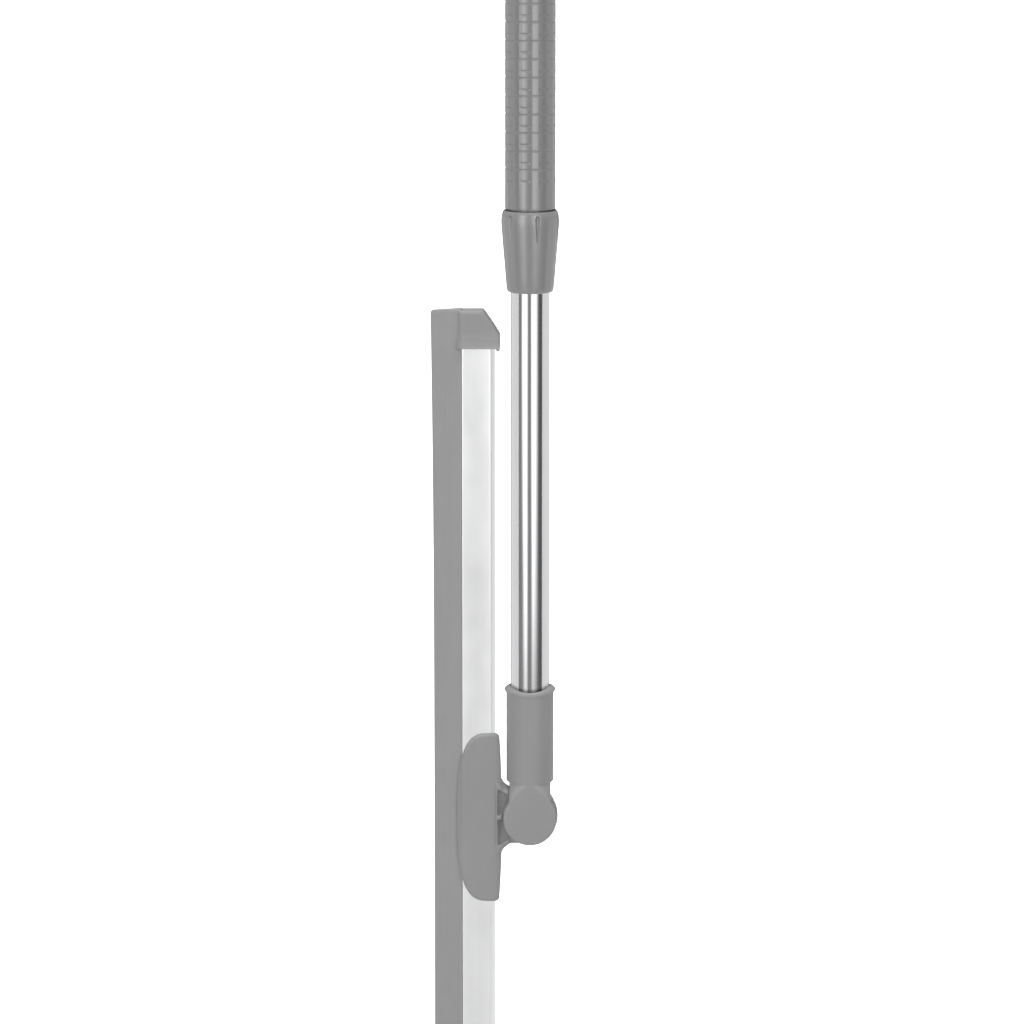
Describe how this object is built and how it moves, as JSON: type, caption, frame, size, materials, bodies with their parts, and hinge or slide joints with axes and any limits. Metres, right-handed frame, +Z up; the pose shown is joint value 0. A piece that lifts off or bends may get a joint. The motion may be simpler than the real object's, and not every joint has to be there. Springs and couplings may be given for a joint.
{
  "type": "window cleaning squeegee",
  "caption": "Telescopic window squeegee: rubber blade in an aluminium channel, on a folding knuckle and a twist-lock handle with a hanging eye.",
  "frame": {"origin": "centre of the hanging eye in the handle's top cap", "axes": "+Z up along the handle, +Y from the front to the back through the head's thickness, +X across the tool, with the folded head on the -X side"},
  "size_m": [0.0636, 0.0282, 1.0782],
  "materials": {
    "steel_tube": "drawn steel tube, hidden under the grip sleeve",
    "chrome_tube": "bright chrome-plated tube",
    "grip_plastic": "glossy grey moulded plastic with an embossed grip pattern",
    "collar_plastic": "glossy grey moulded plastic with slim dents",
    "inner_plastic": "dark moulded plastic inside the handle",
    "grey_plastic": "matte mid-grey moulded plastic",
    "washer_plastic": "pale nylon",
    "steel_screws": "zinc-plated steel",
    "aluminium_channel": "satin anodised extrusion with faint lengthwise lines",
    "rubber_blade": "plain matte grey rubber"
  },
  "bodies": {
    "handle": {"outer_tube": "steel_tube", "grip_sleeve": "grip_plastic", "top_cap": "grip_plastic", "lock_sleeve": "inner_plastic", "collet_ring": "inner_plastic"},
    "lock_collar": {"lock_collar": "collar_plastic"},
    "lower_pole": {"inner_tube": "chrome_tube", "guide_plug": "inner_plastic", "pole_socket": "grey_plastic", "socket_screw": "steel_screws", "pivot_screw": "steel_screws", "pivot_nut": "steel_screws", "pivot_sleeve": "steel_screws", "friction_washer_front": "washer_plastic", "friction_washer_rear": "washer_plastic", "screw_cap": "grey_plastic"},
    "head": {"blade_channel": "aluminium_channel", "rubber_blade": "rubber_blade", "end_cap_top": "grey_plastic", "end_cap_bottom": "grey_plastic", "bracket_cover": "grey_plastic", "pivot_bracket": "grey_plastic", "clamp_screw_1": "steel_screws", "clamp_screw_2": "steel_screws", "clamp_screw_3": "steel_screws", "clamp_screw_4": "steel_screws"}
  },
  "joints": [
    {"name": "collar_turn", "type": "hinge", "parent": "handle", "child": "lock_collar", "pos_m": [0, 0, -0.529], "axis": [0, 0, 1], "range_deg": [0, 90]},
    {"name": "pole_slide", "type": "slide", "parent": "handle", "child": "lower_pole", "axis": [0, 0, -1], "range_m": [-0.19, 0.14]},
    {"name": "head_fold", "type": "hinge", "parent": "lower_pole", "child": "head", "pos_m": [0, 0, -0.8118], "axis": [0, -1, 0], "range_deg": [0, 180]}
  ]
}
